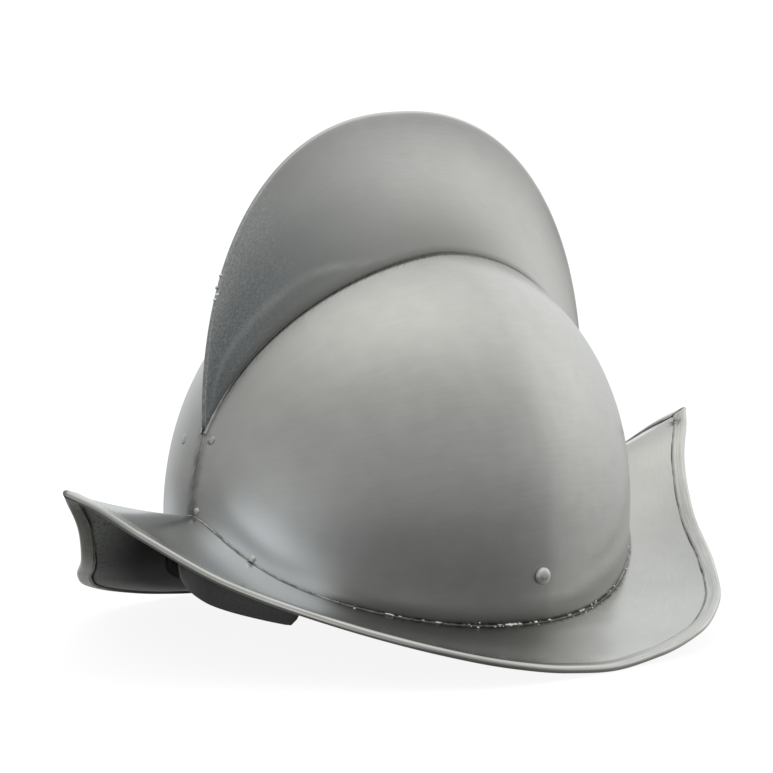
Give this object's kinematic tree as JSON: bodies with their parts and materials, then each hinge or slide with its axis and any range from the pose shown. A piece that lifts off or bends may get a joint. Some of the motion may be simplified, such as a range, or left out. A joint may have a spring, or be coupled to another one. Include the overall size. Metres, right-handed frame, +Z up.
{
  "type": "comb morion helmet",
  "caption": "Steel morion: raised skull with a tall hollow comb, boat-shaped brim drawn up to points, bound edge, side rivets and a leather band inside.",
  "frame": {"origin": "on the surface the helmet stands on, under the middle of its overall length and width", "axes": "+Z up, +Y towards the back point, the front point is towards -Y, and the plane of symmetry is x = 0"},
  "size_m": [0.2732, 0.3602, 0.2255],
  "materials": {
    "skull_steel": "bare sheet steel, brushed and ground, satin",
    "comb_steel": "bare sheet steel, ground, darker towards its lower front",
    "brim_steel": "bare sheet steel, brushed, satin",
    "binding_steel": "bare steel strip, folded over the edge",
    "rivet_steel": "bare steel, domed",
    "lining_leather": "dark grey leather, smooth side out"
  },
  "bodies": {
    "root": {"skull": "skull_steel", "comb": "comb_steel", "brim": "brim_steel", "edge_binding_right": "binding_steel", "edge_binding_left": "binding_steel", "side_rivet_right": "rivet_steel", "side_rivet_left": "rivet_steel", "lining": "lining_leather"}
  },
  "joints": []
}
